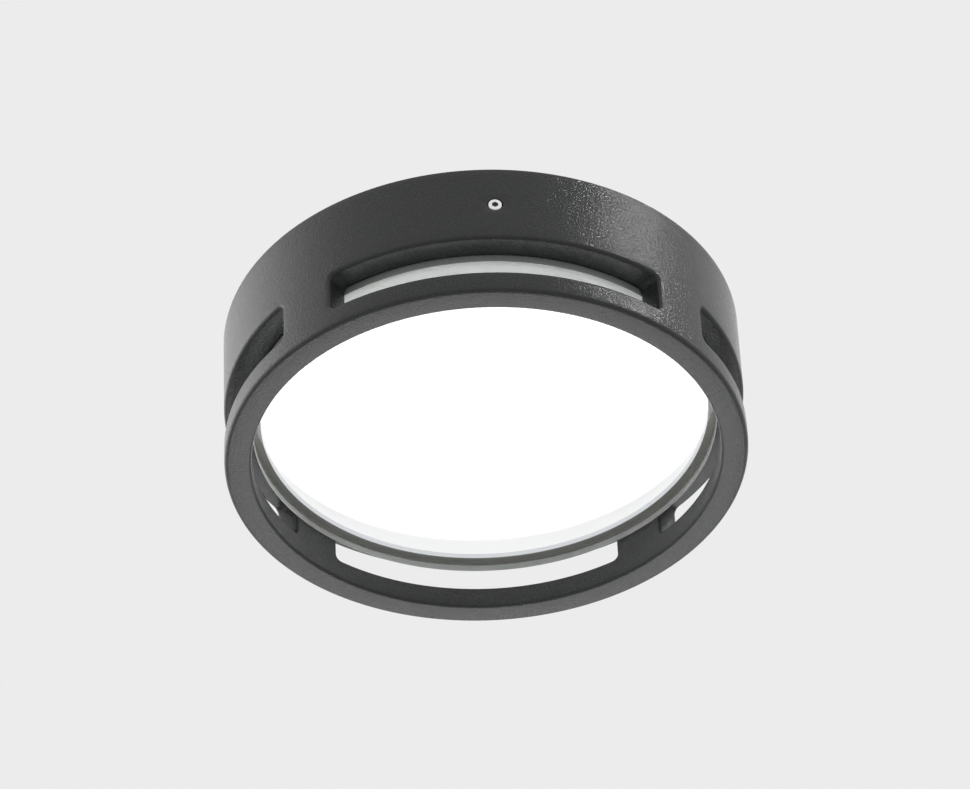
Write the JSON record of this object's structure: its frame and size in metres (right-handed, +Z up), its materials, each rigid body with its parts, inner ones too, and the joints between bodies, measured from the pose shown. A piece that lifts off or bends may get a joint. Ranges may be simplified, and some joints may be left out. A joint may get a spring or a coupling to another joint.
{
  "type": "outdoor ceiling light",
  "caption": "Round surface-mounted outdoor ceiling light: dark windowed drum hanging round a light engine with a thick clear glass disc and opal diffuser.",
  "frame": {"origin": "centre of the ceiling face, on the mounting plate's back", "axes": "+Z up into the ceiling along the drum's axis, -Y towards the front side screw, +X to the right seen from the front"},
  "size_m": [0.26, 0.26, 0.08],
  "materials": {
    "dark_grey_coat": "textured dark grey powder coat on die-cast aluminium",
    "cast_aluminium": "dark grey coated casting",
    "dark_frame": "dark anodised",
    "sheet_aluminium": "plain sheet",
    "galvanised_steel": "galvanised",
    "stainless_steel": "bright machined",
    "plated_brass": "nickel plated",
    "clear_glass": "clear, polished, ground arris",
    "opal_acrylic": "opal, even",
    "translucent_ring": "translucent",
    "white_plastic": "fine matte",
    "white_board": "white solder mask on aluminium core",
    "phosphor": "matte",
    "natural_nylon": "matte",
    "black_plastic": "matte",
    "lead_sleeve": "silicone sleeve",
    "black_rubber": "matte",
    "grey_silicone": "cured silicone"
  },
  "bodies": {
    "engine": {"mounting_plate": "galvanised_steel", "ceiling_seal": "black_rubber", "plate_screws": "stainless_steel", "engine_housing": "cast_aluminium", "cable_grommet": "black_rubber", "breather_plug": "black_plastic", "terminal_block": "natural_nylon", "terminal_screws": "plated_brass", "block_screws": "stainless_steel", "earth_screw": "stainless_steel", "earth_lug": "plated_brass", "gear_tray": "sheet_aluminium", "tray_screws": "stainless_steel", "led_driver": "white_plastic", "driver_screws": "stainless_steel", "led_board": "white_board", "led_packages": "phosphor", "led_connector": "white_plastic", "board_screws": "stainless_steel", "mains_leads": "lead_sleeve", "led_leads": "lead_sleeve", "reflector": "white_plastic", "diffuser": "opal_acrylic", "diffuser_ring": "translucent_ring", "glass_frame": "dark_frame", "frame_seal": "black_rubber", "frame_screws": "stainless_steel", "glass_bond": "grey_silicone", "glass_disc": "clear_glass"},
    "drum": {"drum": "dark_grey_coat"},
    "screw_seal_front": {"screw_seal_front": "black_rubber"},
    "side_screw_front": {"side_screw_front": "stainless_steel"},
    "screw_seal_right": {"screw_seal_right": "black_rubber"},
    "side_screw_right": {"side_screw_right": "stainless_steel"},
    "screw_seal_left": {"screw_seal_left": "black_rubber"},
    "side_screw_left": {"side_screw_left": "stainless_steel"}
  },
  "joints": [
    {"name": "drum_slide", "type": "slide", "parent": "engine", "child": "drum", "axis": [0, 0, -1], "range_m": [0, 0.06]},
    {"name": "screw_front_back_out", "type": "slide", "parent": "drum", "child": "screw_seal_front", "axis": [0, -1, 0], "range_m": [0, 0.0028]},
    {"name": "screw_front_turn", "type": "hinge", "parent": "screw_seal_front", "child": "side_screw_front", "pos_m": [0, -0.1218, -0.0247], "axis": [0, -1, 0], "range_deg": [0, 1440]},
    {"name": "screw_right_back_out", "type": "slide", "parent": "drum", "child": "screw_seal_right", "axis": [0.866, 0.5, 0], "range_m": [0, 0.0028]},
    {"name": "screw_right_turn", "type": "hinge", "parent": "screw_seal_right", "child": "side_screw_right", "pos_m": [0.10548, 0.0609, -0.0247], "axis": [0.866, 0.5, 0], "range_deg": [0, 1440]},
    {"name": "screw_left_back_out", "type": "slide", "parent": "drum", "child": "screw_seal_left", "axis": [-0.866, 0.5, 0], "range_m": [0, 0.0028]},
    {"name": "screw_left_turn", "type": "hinge", "parent": "screw_seal_left", "child": "side_screw_left", "pos_m": [-0.10548, 0.0609, -0.0247], "axis": [-0.866, 0.5, 0], "range_deg": [0, 1440]}
  ],
  "couplings": [
    {"joint": "screw_front_turn", "follows": "screw_front_back_out", "rad_per_m": 8976},
    {"joint": "screw_right_turn", "follows": "screw_right_back_out", "rad_per_m": 8976},
    {"joint": "screw_left_turn", "follows": "screw_left_back_out", "rad_per_m": 8976}
  ]
}
